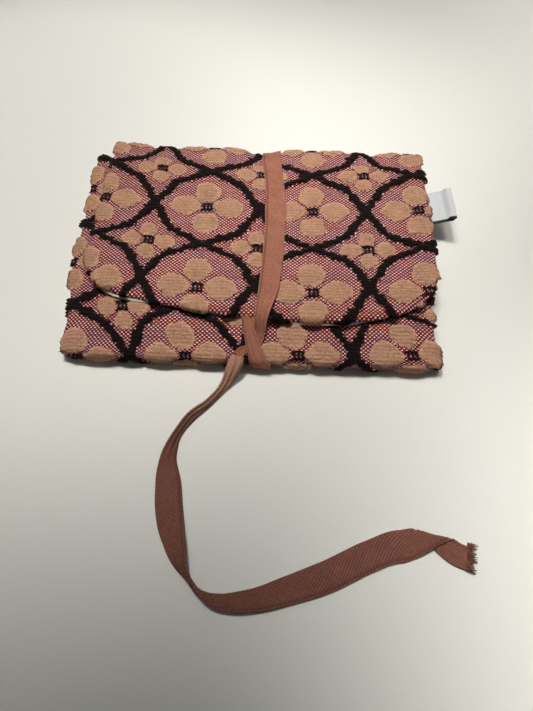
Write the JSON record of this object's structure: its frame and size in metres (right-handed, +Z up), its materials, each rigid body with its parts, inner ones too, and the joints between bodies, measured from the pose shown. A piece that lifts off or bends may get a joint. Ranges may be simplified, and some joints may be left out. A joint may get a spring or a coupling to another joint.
{
  "type": "accordion pouch",
  "caption": "Small soft accordion pouch with pleated sides, dividers, a fold-over flap and a sewn-on cloth tape that wraps round to close it.",
  "frame": {"origin": "middle of the underside of the back, on the surface that the closed pouch lies on", "axes": "+X to the right seam with the label, +Y from the near fold to the spine, +Z up through the flap"},
  "size_m": [0.1759, 0.2217, 0.0161],
  "materials": {
    "chenille_cloth": "patterned chenille jacquard with a raised pile",
    "cream_lining": "plain cotton",
    "soft_interlining": "needled felt",
    "pink_brown_tape": "folded twill bias tape",
    "satin_label": "woven satin"
  },
  "bodies": {
    "back": {"back_outer": "chenille_cloth", "back_interlining": "soft_interlining", "back_lining": "cream_lining", "near_fold_outer": "chenille_cloth", "near_fold_lining": "cream_lining", "spine_lower_fold": "chenille_cloth", "gusset_left_1": "cream_lining", "gusset_left_2": "cream_lining", "gusset_left_3": "cream_lining", "gusset_right_1": "cream_lining", "gusset_right_2": "cream_lining", "gusset_right_3": "cream_lining", "strap_under_run": "pink_brown_tape", "strap_tail": "pink_brown_tape"},
    "spine": {"spine_outer": "chenille_cloth", "spine_lining": "cream_lining", "spine_upper_fold": "chenille_cloth", "strap_far_turn": "pink_brown_tape"},
    "flap": {"flap_outer": "chenille_cloth", "flap_interlining": "soft_interlining", "flap_lining": "cream_lining", "strap_top_run": "pink_brown_tape", "strap_tip_run": "pink_brown_tape"},
    "divider_1": {"divider_1": "cream_lining"},
    "divider_2": {"divider_2": "cream_lining"},
    "front": {"front_outer": "chenille_cloth", "front_interlining": "soft_interlining", "front_lining": "cream_lining", "side_label": "satin_label"}
  },
  "joints": [
    {"name": "spine_fold", "type": "hinge", "parent": "back", "child": "spine", "pos_m": [0, 0.0593, 0.0043], "axis": [-1, 0, 0], "range_deg": [0, 90], "deforming": ["spine_lower_fold", "strap_far_turn"]},
    {"name": "flap_fold", "type": "hinge", "parent": "spine", "child": "flap", "pos_m": [0, 0.0593, 0.0119], "axis": [-1, 0, 0], "range_deg": [0, 90], "deforming": ["spine_upper_fold"]},
    {"name": "front_fan", "type": "hinge", "parent": "back", "child": "front", "pos_m": [0, -0.058, 0.011], "axis": [1, 0, 0], "range_deg": [0, 13.5], "deforming": ["gusset_left_1", "gusset_left_2", "gusset_left_3", "gusset_right_1", "gusset_right_2", "gusset_right_3"]},
    {"name": "divider_1_fan", "type": "hinge", "parent": "back", "child": "divider_1", "pos_m": [0, -0.058, 0.011], "axis": [1, 0, 0], "range_deg": [0, 3.91]},
    {"name": "divider_2_fan", "type": "hinge", "parent": "back", "child": "divider_2", "pos_m": [0, -0.058, 0.011], "axis": [1, 0, 0], "range_deg": [0, 9.6]}
  ],
  "couplings": [
    {"joint": "flap_fold", "follows": "spine_fold", "ratio": 1},
    {"joint": "front_fan", "follows": "spine_fold", "ratio": 0.15},
    {"joint": "divider_1_fan", "follows": "spine_fold", "ratio": 0.0434},
    {"joint": "divider_2_fan", "follows": "spine_fold", "ratio": 0.1066}
  ]
}
